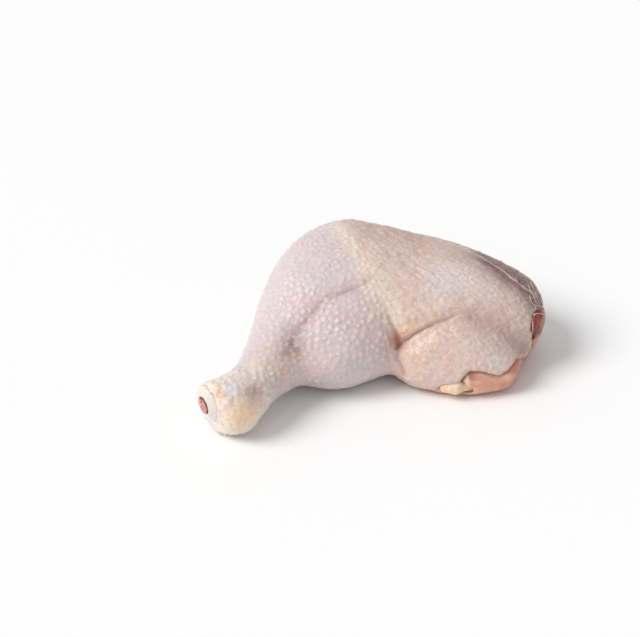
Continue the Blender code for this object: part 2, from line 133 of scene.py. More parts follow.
# Where the skin reaches further than the solid's edge: middle, half width and how far
OVERLAPS = [
    (np.array((0.0800, 0.0100, 0.0325)), 5.0 * MM, 3.4 * MM),
    (np.array((0.0757, -0.0050, 0.0285)), 4.0 * MM, 1.7 * MM),
    (np.array((0.0852, 0.0080, 0.0235)), 4.5 * MM, 7.0 * MM),
    (np.array((0.0735, -0.0095, 0.0200)), 5.0 * MM, 3.4 * MM),
    (np.array((0.0757, -0.0072, 0.0135)), 5.0 * MM, 7.5 * MM),
    (np.array((0.0737, -0.0098, 0.0095)), 4.5 * MM, 5.5 * MM),
    (np.array((0.0785, -0.0030, 0.0105)), 4.0 * MM, 8.0 * MM),
    (np.array((0.0718, -0.0135, 0.0155)), 4.5 * MM, 4.0 * MM),
]

# Thin torn strands over the dark meat at the hip
STRANDS = [
    ((0.0759, 0.0153, 0.0379), (0.0775, 0.0102, 0.0360), (0.0796, 0.0058, 0.0325)),
    ((0.0777, 0.0196, 0.0364), (0.0792, 0.0131, 0.0350), (0.0814, 0.0090, 0.0301)),
    ((0.0761, 0.0070, 0.0363), (0.0767, 0.0039, 0.0346), (0.0795, 0.0046, 0.0320)),
    ((0.0795, 0.0046, 0.0320), (0.0822, 0.0090, 0.0292), (0.0840, 0.0140, 0.0270)),
    ((0.0790, 0.0042, 0.0322), (0.0781, 0.0013, 0.0314), (0.0777, -0.0020, 0.0303)),
    ((0.0772, -0.0015, 0.0308), (0.0803, 0.0014, 0.0296), (0.0834, 0.0040, 0.0270)),
    ((0.0822, 0.0090, 0.0292), (0.0834, 0.0067, 0.0276), (0.0832, 0.0030, 0.0268)),
    ((0.0785, 0.0140, 0.0358), (0.0815, 0.0119, 0.0318), (0.0835, 0.0110, 0.0285)),
    ((0.0800, 0.0165, 0.0345), (0.0822, 0.0150, 0.0305), (0.0840, 0.0125, 0.0275)),
    ((0.0766, -0.0030, 0.0297), (0.0767, -0.0064, 0.0245), (0.0760, -0.0082, 0.0205)),
]
STRAND_RADIUS = 0.26 * MM
STRAND_SIDES = 8
STRAND_RINGS = 18

# On the bare meat: a white tendon, a pale band of membrane and a pit of painted shade
TENDON = np.array([
    (0.0436, -0.0307, 0.0145),
    (0.0441, -0.0317, 0.0120),
    (0.0443, -0.0319, 0.0095),
    (0.0456, -0.0305, 0.0055),
])
MEMBRANE = np.array([
    (0.0515, -0.0305, 0.0168),
    (0.0550, -0.0299, 0.0150),
    (0.0596, -0.0288, 0.0131),
    (0.0650, -0.0262, 0.0108),
])
MEAT_PIT = np.array((0.0440, -0.0312, 0.0160))

# Middles of the spots that get a colour, some of them painted shade and one a painted highlight;
# lay_down moves them onto the surface
SPOTS = {
    # painted shade in the hock's hollow
    "hock_hollow": np.array((-0.0578, -0.0560, 0.0240)),
    "hock_streaks": np.array((-0.0605, -0.0655, 0.0165)),
    "hock_tendon": np.array((-0.0721, -0.0628, 0.0283)),
    # painted highlight on the knob
    "hock_highlight": np.array((-0.0667, -0.0600, 0.0285)),
    "hock_red": np.array((-0.0696, -0.0672, 0.0124)),
    "ankle": np.array((-0.0440, -0.0375, 0.0280)),
    "seam_patch": np.array((-0.0388, -0.0290, 0.0315)),
    # painted shade in the knee's pit
    "pit_floor": np.array((0.0100, -0.0215, 0.0290)),
    # painted shade low on the hip
    "hip_shade": np.array((0.0615, -0.0185, 0.0260)),
    "flap_tan": np.array((0.0174, -0.0242, 0.0243)),
    "thigh_pale": np.array((0.0374, 0.0044, 0.0471)),
    "calf_shade": np.array((-0.0020, -0.0175, 0.0350)),
    "ankle_cream": np.array((-0.0567, -0.0460, 0.0279)),
    # painted shade on the calf's middle
    "calf_middle_shade": np.array((-0.0170, -0.0200, 0.0398)),
    "flap_pale": np.array((0.0594, -0.0270, 0.0187)),
}

# The skin's end over the dark meat, and the hock's cut face with its way out
HIP_TOP = np.array((0.0790, 0.0040, 0.0315))
HOCK_FACE = np.array((-0.0784, -0.0578, 0.0184))
HOCK_WAY = np.array((-0.80, -0.58, -0.10)) / np.linalg.norm((-0.80, -0.58, -0.10))

# Camera: what it looks at, its height over the horizon, its distance and its lens
CAMERA_TARGET = Vector((-0.0265, -0.0005, 0.0280))
CAMERA_ELEVATION = math.radians(33.0)
CAMERA_DISTANCE = 0.80
CAMERA_LENS = 92.25
SENSOR = 36.0
TO_CAMERA = Vector((0.0, -math.cos(CAMERA_ELEVATION), math.sin(CAMERA_ELEVATION)))

# Light: the even white surroundings, and one soft lamp with its way in
ROOM_STRENGTH = 0.56
LAMP_STRENGTH = 2.28
LAMP_ANGLE = math.radians(32.0)
LAMP_COLOUR = (1.0, 0.995, 0.99)
LAMP_FROM = Vector((-0.69, -0.23, 0.69))

# The floor runs far past the picture's edge
FLOOR_SIDE = 40.0

SEED = 11


# Small sums

def unit(way):
    """The way, one long."""
    return np.asarray(way, float) / np.linalg.norm(way)


def ease(x):
    """0 below 0, 1 above 1, and a smooth run between them."""
    x = np.clip(x, 0.0, 1.0)
    return x * x * (3.0 - 2.0 * x)


def lattice(cells, seed):
    """A repeatable value from 0 to 1 for each cell."""
    x, y, z = (cells[:, i].astype(np.int64) for i in range(3))
    mixed = (x * 73856093) ^ (y * 19349663) ^ (z * 83492791) ^ (seed * 2654435761)
    mixed = (mixed ^ (mixed >> 13)) * 1274126177
    mixed = mixed ^ (mixed >> 16)
    return (mixed & 0xFFFFFF) / float(0xFFFFFF)


def noise(points, size, seed):
    """Smooth noise from -1 to 1 with waves of about this size."""
    q = points / size + 1000.0
    cells = np.floor(q)
    t = q - cells
    t = t * t * (3.0 - 2.0 * t)
    total = np.zeros(len(points))
    for corner in np.ndindex(2, 2, 2):
        weight = np.prod(np.where(np.array(corner) == 1, t, 1.0 - t), axis=1)
        total += weight * lattice(cells + np.array(corner), seed)
    return 2.0 * total - 1.0


def rough_noise(points, size, seed):
    """Noise with finer waves on top."""
    return (
        0.55 * noise(points, size, seed)
        + 0.30 * noise(points, size * 0.47, seed + 1)
        + 0.15 * noise(points, size * 0.23, seed + 2)
    )


def streaks(points, way, long_size, short_size, seed):
    """Noise drawn out along a way."""
    way = unit(way)
    along = points @ way
    q = points - along[:, None] * way
    return noise(q + np.outer(along, way) * (short_size / long_size), short_size, seed)


def away_from(points, route):
    """Distance from a route, and the share of it passed at the nearest place."""
    lengths = np.linalg.norm(np.diff(route, axis=0), axis=1)
    nearest = np.full(len(points), np.inf)
    share = np.zeros(len(points))
    passed = 0.0
    for a, b, length in zip(route[:-1], route[1:], lengths):
        t = np.clip((points - a) @ (b - a) / length**2, 0.0, 1.0)
        away = np.linalg.norm(points - a - t[:, None] * (b - a), axis=1)
        closer = away < nearest
        nearest = np.where(closer, away, nearest)
        share = np.where(closer, (passed + t * length) / lengths.sum(), share)
        passed += length
    return nearest, share


def beyond(points, route, way):
    """How far each point lies past a route, measured along a way."""
    lengths = np.linalg.norm(np.diff(route, axis=0), axis=1)
    marks = np.concatenate([[0.0], np.cumsum(lengths)])
    steps = np.linspace(0.0, marks[-1], 40)
    fine = np.stack([np.interp(steps, marks, route[:, i]) for i in range(3)], axis=1)
    nearest = np.zeros(len(points), int)
    least = np.full(len(points), np.inf)
    for i, place in enumerate(fine):
        away = np.linalg.norm(points - place, axis=1)
        nearest = np.where(away < least, i, nearest)
        least = np.minimum(away, least)
    return (points - fine[nearest]) @ unit(way)


def bell(distance, width):
    """1 at no distance, falling away over the width."""
    return np.exp(-((distance / width) ** 2))


def spot(points, middle, width):
    """1 at a place, falling away over the width."""
    return bell(np.linalg.norm(points - middle, axis=1), width)


# The routes by name; lay_down moves them onto the surface too
ROUTES = {
    "crease": CREASE, "above_crease": ABOVE_CREASE, "knee_pit": KNEE_PIT, "calf_seam": CALF_SEAM,
    "hip_valley": HIP_VALLEY, "fat_band": FAT_BAND, "hip_end": HIP_END, "rim_strand": RIM_STRAND,
}


def lay_down(mesh):
    """Draws every route and spot along the view onto the surface."""
    bm = bmesh.new()
    bm.from_mesh(mesh)
    tree = BVHTree.FromBMesh(bm)
    bm.free()
    for table in (ROUTES, SPOTS):
        for name, places in table.items():
            laid = []
            for place in np.atleast_2d(places):
                start = Vector(place) + TO_CAMERA * 12 * MM
                hit = tree.ray_cast(start, -TO_CAMERA, 30 * MM)[0]
                laid.append(hit or tree.find_nearest(Vector(place))[0])
            table[name] = np.array(laid) if places.ndim == 2 else np.array(laid[0])


# Meshes

def read_points(mesh):
    """A mesh's points, one a row."""
    points = np.empty(len(mesh.vertices) * 3)
    mesh.vertices.foreach_get("co", points)
    return points.reshape(-1, 3)


def read_normals(mesh):
    """The way out of the surface at each point."""
    normals = np.empty(len(mesh.vertices) * 3)
    mesh.vertex_normals.foreach_get("vector", normals)
    return normals.reshape(-1, 3)


def read_edges(mesh):
    """The two points of each edge."""
    edges = np.empty(len(mesh.edges) * 2, dtype=int)
    mesh.edges.foreach_get("vertices", edges)
    return edges.reshape(-1, 2)


def write_points(mesh, points):
    """Moves a mesh's points, none of them under the floor."""
    points = points.copy()
    points[:, 2] = np.maximum(points[:, 2], 0.0)
    mesh.vertices.foreach_set("co", points.astype(np.float32).ravel())
    mesh.update()


def neighbour_mean(points, edges):
    """Mean of the points that each point's edges lead to."""
    size = len(points)
    count = np.bincount(edges.ravel(), minlength=size)
    total = np.stack([
        np.bincount(edges[:, 0], points[edges[:, 1], i], size)
        + np.bincount(edges[:, 1], points[edges[:, 0], i], size)
        for i in range(3)
    ], axis=1)
    return total / np.maximum(count, 1)[:, None]


def smoothed(mesh, rounds, kept=None):
    """Evens out a mesh, less where kept is near 1."""
    points, edges = read_points(mesh), read_edges(mesh)
    share = 0.5 if kept is None else 0.5 * (1.0 - kept)[:, None]
    for _ in range(rounds):
        points = points + share * (neighbour_mean(points, edges) - points)
    write_points(mesh, points)


def joined_nodes(*names):
    """One mesh of several of the frame's nodes."""
    bm = bmesh.new()
    for name in names:
        bm.from_mesh(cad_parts[name].data)
    mesh = bpy.data.meshes.new("joined")
    bm.to_mesh(mesh)
    bm.free()
    return mesh


def new_object(name, mesh):
    """A new object in the scene."""
    thing = bpy.data.objects.new(name, mesh)
    bpy.context.scene.collection.objects.link(thing)
    return thing


def as_evaluated(thing):
    """A plain mesh of the object with its modifiers applied; the object goes."""
    bpy.context.view_layer.update()
    graph = bpy.context.evaluated_depsgraph_get()
    mesh = bpy.data.meshes.new_from_object(thing.evaluated_get(graph), depsgraph=graph)
    bpy.data.objects.remove(thing)
    return mesh


def evenly_meshed(mesh, voxel):
    """The closed mesh's outside in even quads."""
    rough = new_object("rough", mesh)
    even = rough.modifiers.new("Even", "REMESH")
    even.mode = "VOXEL"
    even.voxel_size = voxel
    return as_evaluated(rough)


def tree_of(name):
    """A search tree of one of the frame's nodes."""
    bm = bmesh.new()
    bm.from_mesh(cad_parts[name].data)
    tree = BVHTree.FromBMesh(bm)
    bm.free()
    return tree


def distances(tree, points):
    """Distance of each point from a surface."""
    return np.array([tree.find_nearest(Vector(point))[3] for point in points])


def bare_depth(points):
    """How far each point lies from the skin's edge over bare ground; under the skin 0 or less."""
    depth = distances(tree_of("skin"), points)
    near_hock = ease(3.0 - np.linalg.norm(points - HOCK_FACE, axis=1) / (9 * MM))
    depth -= near_hock * np.maximum(1.3 + 1.6 * noise(points, 4.5 * MM, SEED + 12), 0.0) * MM
    near_hip = ease(2.0 - np.linalg.norm(points - HIP_TOP, axis=1) / (7 * MM))
    depth -= near_hip * np.maximum(0.3 + 1.6 * noise(points, 2.6 * MM, SEED + 13), 0.0) * MM
    for middle, width, amount in OVERLAPS:
        depth -= amount * spot(points, middle, width)
    return depth


def paint(mesh, name, values):
    """Keeps a value at each point for the material."""
    layer = mesh.attributes.new(name, "FLOAT", "POINT")
    layer.data.foreach_set("value", np.clip(values, 0.0, 1.0).astype(np.float32))


def finished(name, mesh, node, material):
    """A piece of the model that stands for a node."""
    mesh.name = name
    mesh.materials.clear()
    mesh.materials.append(material)
    mesh.shade_smooth()
    piece = new_object(name, mesh)
    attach(piece, "root")
    if node:
        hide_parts(node)
    return piece


# Relief

def fold_depth(points):
    """How far the folds draw the surface in, past what the solids have."""
    away, share = away_from(points, ROUTES["crease"])
    depth = (2.3 - 2.3 * share) * bell(away, 0.80 * MM)
    away, share = away_from(points, ROUTES["knee_pit"])
    depth += 2.1 * ease(share * 2.0) * bell(away, 1.05 * MM)
    away, share = away_from(points, ROUTES["calf_seam"])
    depth += (0.30 + 0.40 * share) * bell(away, 1.3 * MM) * ease((1.0 - share) / 0.2)
    depth += 0.5 * bell(away_from(points, ROUTES["hip_valley"])[0], 2.4 * MM)
    return depth * MM


def lip_rise(points):
    """How far the skin swells over the crease and fills the crease's shallow end."""
    away, share = away_from(points, ROUTES["above_crease"])
    rise = 1.1 * (1.0 - 0.8 * share) * bell(away, 2.7 * MM)
    away, share = away_from(points, ROUTES["crease"])
    rise += 1.2 * ease((share - 0.55) / 0.45) * bell(away, 3.2 * MM)
    return rise * MM


def scattered(points, tree, spacing, seed):
    """Indices of points spread evenly, none closer than the spacing."""
    draw = np.random.default_rng(seed)
    blocked = np.zeros(len(points), bool)
    chosen = []
    for i in draw.permutation(len(points)):
        if blocked[i]:
            continue
        chosen.append(i)
        for _, j, _ in tree.find_range(points[i], spacing):
            blocked[j] = True
    return np.array(chosen)


def point_tree(points):
    """A search tree of points."""
    tree = KDTree(len(points))
    for i, point in enumerate(points):
        tree.insert(point, i)
    tree.balance()
    return tree


def goosebumps(points, spacing, radius, seed):
    """Domes with paler tops, and the network of furrows between them."""
    tree = point_tree(points)
    chosen = scattered(points, tree, spacing, seed)
    draw = np.random.default_rng(seed + 1)
    sizes = draw.uniform(0.60, 1.25, len(chosen))
    heights = draw.uniform(0.30, 1.1, len(chosen))
    domes = np.zeros(len(points))
    for i, size, height in zip(chosen, sizes, heights):
        reach = radius * size
        for _, j, away in tree.find_range(points[i], reach):
            domes[j] = max(domes[j], height * (1.0 - (away / reach) ** 2) ** 2)
    middles = point_tree(points[chosen])
    furrows = np.empty(len(points))
    for i, point in enumerate(points):
        (_, _, near), (_, _, next_near) = middles.find_n(point, 2)
        furrows[i] = next_near - near
    return domes, bell(furrows, FURROW_WIDTH)


def region_shares(points):
    """Where the surface is thigh, the knob at the hock, and the hip's end, from 0 to 1."""
    past_knee = points @ KNEE_PLANE
    along = (points - HOCK) @ unit(KNEE - HOCK)
    thigh = ease((past_knee + 2.0 * MM) / (8.0 * MM))
    knob = ease((33.0 * MM - along) / (16.0 * MM)) * (1.0 - thigh)
    hip = ease((points[:, 0] - 45 * MM) / (22 * MM))
    return thigh, knob, hip


def net_zone(points):
    """Where strands run over the skin's end at the hip, from 0 to 1."""
    away, share = away_from(points, ROUTES["hip_end"])
    return bell(away, 6.5 * MM) * ease((share - 0.45) / 0.35)


def wrinkle_relief(points, thigh, knob):
    """Height of the thigh's slanting wrinkles and of the knob's ring folds."""
    slanted = streaks(points, (0.62, -0.60, -0.35), 13 * MM, 2.3 * MM, SEED + 6)
    crossed = streaks(points, (0.80, 0.50, 0.15), 11 * MM, 2.1 * MM, SEED + 7)
    rumpled = streaks(points, (0.62, -0.60, -0.35), 8 * MM, 1.8 * MM, SEED + 9)
    ring_folds = streaks(points, (0.60, -0.75, 0.25), 13 * MM, 2.6 * MM, SEED + 8)
    height = -0.30 * MM * thigh * bell(slanted, 0.32)
    height -= 0.15 * MM * thigh * bell(crossed, 0.28)
    height += 0.13 * MM * thigh * rumpled
    height -= 0.30 * MM * knob * bell(ring_folds, 0.35)
    height += 0.34 * MM * knob * noise(points, 3.6 * MM, SEED + 10)
    return height


def skin_relief(points, reach):
    """Height of the skin's relief over the smooth form, with its bump tops."""
    thigh, knob, hip = region_shares(points)
    domes, furrows = goosebumps(points, BUMP_SPACING, BUMP_RADIUS, SEED)
    strength = 1.0 - 0.60 * thigh - 0.20 * knob + 0.20 * thigh * hip
    strength = strength * (0.80 + 0.40 * noise(points, 12 * MM, SEED + 3))
    height = BUMP_HEIGHT * strength * domes
    height -= 0.09 * MM * furrows * (1.0 - 0.4 * thigh)
    height += 0.30 * MM * noise(points, 11 * MM, SEED + 4)
    height += 0.14 * MM * noise(points, 5 * MM, SEED + 5)
    height += 0.09 * MM * noise(points, 2.1 * MM, SEED + 14)
    height += wrinkle_relief(points, thigh, knob)
    away, share = away_from(points, ROUTES["crease"])
    ripples = np.cos(away / (1.15 * MM) * math.pi) * bell(away - 3.4 * MM, 2.6 * MM)
    height += 0.13 * MM * ripples * thigh * (1.0 - 0.5 * share)
    height += lip_rise(points) - fold_depth(points)
    height += 0.35 * MM * bell(away_from(points, ROUTES["rim_strand"])[0], 0.8 * MM)
    height += 0.30 * MM * net_zone(points) * noise(points, 1.7 * MM, SEED + 15)
    rolled = bell(reach - 2.4 * MM, 1.3 * MM)
    sunk_rim = ease(1.0 - reach / (1.6 * MM))
    height += 0.15 * MM * rolled - 0.60 * MM * sunk_rim
    return height, domes * strength


def edge_reach(mesh, points):
    """Distance of each point from the mesh's open edge."""
    bm = bmesh.new()
    bm.from_mesh(mesh)
    rim = [vert.co.copy() for vert in bm.verts if vert.is_boundary]
    bm.free()
    tree = point_tree(rim)
    return np.array([tree.find(point)[2] for point in points])


def drop_points(mesh, dropped):
    """Deletes points and what hangs on them, and then loose scraps."""
    bm = bmesh.new()
    bm.from_mesh(mesh)
    bm.verts.ensure_lookup_table()
    bmesh.ops.delete(bm, geom=[bm.verts[i] for i in np.flatnonzero(dropped)], context="VERTS")
    groups, seen = [], set()
    for start in bm.verts:
        if start in seen:
            continue
        seen.add(start)
        group, edge = [start], [start]
        while edge:
            vert = edge.pop()
            for link in vert.link_edges:
                other = link.other_vert(vert)
                if other not in seen:
                    seen.add(other)
                    group.append(other)
                    edge.append(other)
        groups.append(group)
    groups.sort(key=len)
    for group in groups[:-1]:
        bmesh.ops.delete(bm, geom=group, context="VERTS")
    spikes = [vert for vert in bm.verts if vert.is_boundary and len(vert.link_faces) == 1]
    bmesh.ops.delete(bm, geom=spikes, context="VERTS")
    bm.to_mesh(mesh)
    bm.free()


def even_rim(mesh, rounds):
    """Smooths the mesh's open edge along itself."""
    bm = bmesh.new()
    bm.from_mesh(mesh)
    rim = [vert for vert in bm.verts if vert.is_boundary]
    for _ in range(rounds):
        moved = []
        for vert in rim:
            sides = [e.other_vert(vert).co for e in vert.link_edges if e.is_boundary]
            if len(sides) == 2:
                moved.append((vert, (vert.co * 2 + sides[0] + sides[1]) / 4))
        for vert, place in moved:
            vert.co = place
    bm.to_mesh(mesh)
    bm.free()


def thickened(mesh, reach):
    """A closed skin: the outside, and inside it a plainer copy."""
    thing = new_object("sheet", mesh)
    thin = thing.vertex_groups.new(name="thickness")
    inside = thing.vertex_groups.new(name="inside")
    steps = 10
    weights = np.round(ease(reach / (2.5 * MM)) * steps)
    for step in range(steps + 1):
        chosen = np.flatnonzero(weights == step)
        thin.add([int(i) for i in chosen], step / steps, "REPLACE")
    shell = thing.modifiers.new("Shell", "SOLIDIFY")
    shell.thickness = SKIN_THICKNESS
    shell.offset = -1.0
    shell.vertex_group = thin.name
    shell.thickness_vertex_group = EDGE_THINNING
    shell.shell_vertex_group = inside.name
    fewer = thing.modifiers.new("Fewer", "DECIMATE")
    fewer.ratio = INSIDE_KEPT
    fewer.vertex_group = inside.name
    fewer.vertex_group_factor = 1.0
    return as_evaluated(thing)


# Materials

class Shades:
    """A material's nodes, added one after another."""

    def __init__(self, name):
        self.material = bpy.data.materials.new(name)
        self.material.use_nodes = True
        self.tree = self.material.node_tree
        self.shader = self.tree.nodes["Principled BSDF"]

    def add(self, kind, inputs=(), **settings):
        """A node with its inputs put in and its settings made."""
        node = self.tree.nodes.new(kind)
        for key, value in settings.items():
            setattr(node, key, value)
        for key, value in dict(inputs).items():
            self.put(node.inputs[key], value)
        return node

    def put(self, socket, value):
        """Links a node's output to the socket, or sets its value."""
        if isinstance(value, bpy.types.NodeSocket):
            self.tree.links.new(value, socket)
        elif isinstance(value, tuple) and len(value) == 3 and socket.type == "RGBA":
            socket.default_value = (*value, 1.0)
        else:
            socket.default_value = value

    def place(self):
        """The place on the piece, in metres."""
        return self.add("ShaderNodeTexCoord").outputs["Object"]

    def painted(self, name, factor=None):
        """The value kept at each point under the name, times the factor."""
        value = self.add("ShaderNodeAttribute", attribute_name=name).outputs["Fac"]
        return value if factor is None else self.math("MULTIPLY", value, factor)

    def noise(self, scale, detail=3.0, roughness=0.55, where=None):
        inputs = {"Vector": where or self.place(), "Scale": scale, "Detail": detail}
        inputs["Roughness"] = roughness
        return self.add("ShaderNodeTexNoise", inputs).outputs["Fac"]

    def cells(self, scale, feature="F1"):
        inputs = {"Vector": self.place(), "Scale": scale}
        return self.add("ShaderNodeTexVoronoi", inputs, feature=feature).outputs["Distance"]

    def span(self, value, low, high, to_low=0.0, to_high=1.0):
        """The value's run from low to high, smoothly made one from to_low to to_high."""
        inputs = {"Value": value, "From Min": low, "From Max": high}
        inputs.update({"To Min": to_low, "To Max": to_high})
        return self.add("ShaderNodeMapRange", inputs, interpolation_type="SMOOTHSTEP").outputs[0]

    def math(self, operation, a, b):
        node = self.add("ShaderNodeMath", operation=operation)
        self.put(node.inputs[0], a)
        self.put(node.inputs[1], b)
        return node.outputs[0]

    def mix(self, a, b, share):
        node = self.add("ShaderNodeMix", data_type="RGBA")
        self.put(node.inputs["Factor"], share)
        self.put(node.inputs["A"], a)
        self.put(node.inputs["B"], b)
        return node.outputs["Result"]

    def stretched(self, scale):
        """The place, scaled along each axis."""
        inputs = {"Vector": self.place(), "Scale": scale}
        return self.add("ShaderNodeMapping", inputs).outputs["Vector"]

    def lines(self, scale, stretch, turn):
        """Thin dark lines, 0 in the line and 1 between, drawn out along X before the turn."""
        inputs = {"Vector": self.place(), "Rotation": turn}
        turned = self.add("ShaderNodeMapping", inputs).outputs["Vector"]
        inputs = {"Vector": turned, "Scale": tuple(stretch)}
        where = self.add("ShaderNodeMapping", inputs).outputs["Vector"]
        level = self.math("SUBTRACT", self.noise(scale, 2.0, 0.5, where), 0.5)
        return self.span(self.math("ABSOLUTE", level, 0.0), 0.0, 0.05)

    def bump(self, height, distance, strength=1.0, normal=None):
        inputs = {"Height": height, "Distance": distance, "Strength": strength}
        if normal:
            inputs["Normal"] = normal
        return self.add("ShaderNodeBump", inputs).outputs["Normal"]

    def finish(self, colour, roughness, normal, flesh, depth, coat=0.0, coat_roughness=0.1):
        """Wires the colour and relief to the shader and sets the even values."""
        sockets = self.shader.inputs
        self.put(sockets["Base Color"], colour)
        self.put(sockets["Roughness"], roughness)
        self.put(sockets["Normal"], normal)
        if coat:
            self.put(sockets["Coat Normal"], normal)
        sockets["Subsurface Weight"].default_value = flesh
        sockets["Subsurface Radius"].default_value = (1.0, 0.42, 0.30)
        sockets["Subsurface Scale"].default_value = depth
        sockets["Coat Weight"].default_value = coat
        sockets["Coat Roughness"].default_value = coat_roughness
        sockets["IOR"].default_value = 1.40
        return self.material


SKIN_TONES = {
    "lavender": (0.675, 0.580, 0.590),
    "pink": (0.720, 0.550, 0.545),
    "beige": (0.745, 0.605, 0.535),
    "rosy_beige": (0.730, 0.515, 0.460),
    "cool_patch": (0.64, 0.57, 0.60),
    "warm_patch": (0.79, 0.60, 0.55),
    "fat": (0.82, 0.69, 0.58),
    "pale": (0.790, 0.715, 0.695),
    # tan: speckles and warm tones, and painted shade round the crease, the knee's pit and under the
    # ledge
    "tan": (0.68, 0.45, 0.31),
    "knob": (0.85, 0.74, 0.655),
    # painted shade on the calf, toward the thigh's far side and in the hip's valley
    "painted_shade": (0.53, 0.345, 0.320),
    "amber": (0.97, 0.69, 0.46),
    "hem": (0.74, 0.52, 0.38),
    # painted highlight on the knob
    "painted_highlight": (0.84, 0.82, 0.86),
    # the seam's purple vein, with painted shade in its crease
    "vein_and_crease_shade": (0.39, 0.258, 0.248),
    "fleck": (0.70, 0.38, 0.35),
    # painted shade, red-brown, in the crease and the knee's pit, whose floor is also reddish
    "rosy": (0.47, 0.190, 0.105),
    # painted shade along the thigh's wrinkle lines
    "wrinkle_shade": (0.54, 0.355, 0.29),
    "bump_top": (0.86, 0.79, 0.75),
    "dark_speck": (0.60, 0.40, 0.39),
    "pale_speck": (0.88, 0.80, 0.76),
    # painted shade, near black, past the hip's far rim over thin grey skin, and in its valley
    "dark_shade": (0.160, 0.076, 0.069),
    # painted shade, purple, in the hock's hollow and over the hip's end
    "purple_shade": (0.190, 0.075, 0.082),
    "web": (0.46, 0.31, 0.30),
    "web_gap": (0.14, 0.070, 0.065),
    "strand": (0.76, 0.68, 0.65),
}


def skin_material():
    """Pale wet skin: lavender on the drumstick, beige on the thigh, with pale bump tops, painted
    shade and a painted highlight.
    """
    s = Shades("skin_wet")
    tone = SKIN_TONES
    broad = s.noise(55.0, 4.0)
    fine = s.noise(260.0, 3.0)
    specks = s.noise(620.0, 2.0)
    fleck_noise = s.noise(480.0, 2.0)
    patches = s.noise(170.0, 3.0, 0.6, s.stretched((0.75, 1.0, 0.6)))

    drum = s.mix(tone["lavender"], tone["pink"], s.span(broad, 0.48, 0.72, 0.0, 0.75))
    thigh = s.mix(tone["beige"], tone["rosy_beige"], s.span(broad, 0.45, 0.70, 0.0, 0.8))
    colour = s.mix(drum, thigh, s.painted("thigh"))
    colour = s.mix(colour, tone["cool_patch"], s.span(patches, 0.36, 0.52, 0.40, 0.0))
    colour = s.mix(colour, tone["warm_patch"], s.span(patches, 0.53, 0.68, 0.0, 0.40))
    colour = s.mix(colour, tone["fat"], s.painted("fat", 0.85))
    colour = s.mix(colour, tone["pale"], s.painted("pale"))
    # Tan: speckles and warm tones, and painted shade round the folds
    colour = s.mix(colour, tone["tan"], s.painted("tan", s.span(fine, 0.3, 0.65)))
    colour = s.mix(colour, tone["knob"], s.painted("knob"))
    # Painted shade on the calf, toward the thigh's far side and in the hip's valley
    colour = s.mix(colour, tone["painted_shade"], s.painted("painted_shade"))
    colour = s.mix(colour, tone["amber"], s.painted("amber", s.span(fine, 0.28, 0.62, 0.55, 1.0)))
    colour = s.mix(colour, tone["hem"], s.painted("hem"))
    # Painted highlight on the knob
    colour = s.mix(colour, tone["painted_highlight"], s.painted("painted_highlight"))
    # The seam's purple vein, with painted shade in its crease
    colour = s.mix(colour, tone["vein_and_crease_shade"], s.painted("vein_and_crease_shade", s.span(fine, 0.32, 0.60, 0.35, 1.0)))
    colour = s.mix(colour, tone["fleck"], s.painted("flecks", s.span(fleck_noise, 0.54, 0.66)))
    # Painted shade, red-brown, in the crease and the knee's pit
    colour = s.mix(colour, tone["rosy"], s.painted("rosy"))

    lines = s.lines(520.0, (0.22, 1.0, 1.0), (0.0, 0.35, -0.80))
    other_lines = s.lines(480.0, (0.25, 1.0, 1.0), (0.3, -0.2, 0.55))
    wrinkles = s.math("MULTIPLY", lines, s.span(other_lines, 0.0, 1.0, 0.35, 1.0))
    # Painted shade along the thigh's wrinkle lines
    wrinkle_shade_share = s.painted("thigh", s.span(wrinkles, 0.0, 0.9, 0.38, 0.0))
    colour = s.mix(colour, tone["wrinkle_shade"], wrinkle_shade_share)
    colour = s.mix(colour, tone["bump_top"], s.painted("bump", 0.40))
    colour = s.mix(colour, tone["dark_speck"], s.span(specks, 0.56, 0.70, 0.0, 0.32))
    colour = s.mix(colour, tone["pale_speck"], s.span(specks, 0.30, 0.44, 0.30, 0.0))

    # Painted shade, near black, past the hip's far rim and in its valley
    colour = s.mix(colour, tone["dark_shade"], s.painted("dark_shade", s.span(specks, 0.35, 0.65, 1.0, 0.72)))
    # Painted shade, purple, in the hock's hollow and over the hip's end
    colour = s.mix(colour, tone["purple_shade"], s.painted("purple_shade", s.span(fine, 0.2, 0.7, 0.75, 1.0)))
    threads = s.lines(620.0, (0.35, 1.0, 1.0), (0.0, 0.7, -0.95))
    other_threads = s.lines(560.0, (0.40, 1.0, 1.0), (0.2, 0.1, 0.60))
    web = s.mix(tone["web"], tone["web_gap"], s.math("MULTIPLY", threads, other_threads))
    colour = s.mix(colour, web, s.painted("net", 0.8))
    colour = s.mix(colour, tone["strand"], s.painted("strand"))

    normal = s.bump(s.noise(1100.0, 3.0), 0.22 * MM, 0.8)
    normal = s.bump(wrinkles, 0.20 * MM, 0.6, normal)
    roughness = s.span(fine, 0.3, 0.7, 0.30, 0.46)
    return s.finish(colour, roughness, normal,
                    flesh=0.6, depth=1.0 * MM, coat=0.28, coat_roughness=0.14)


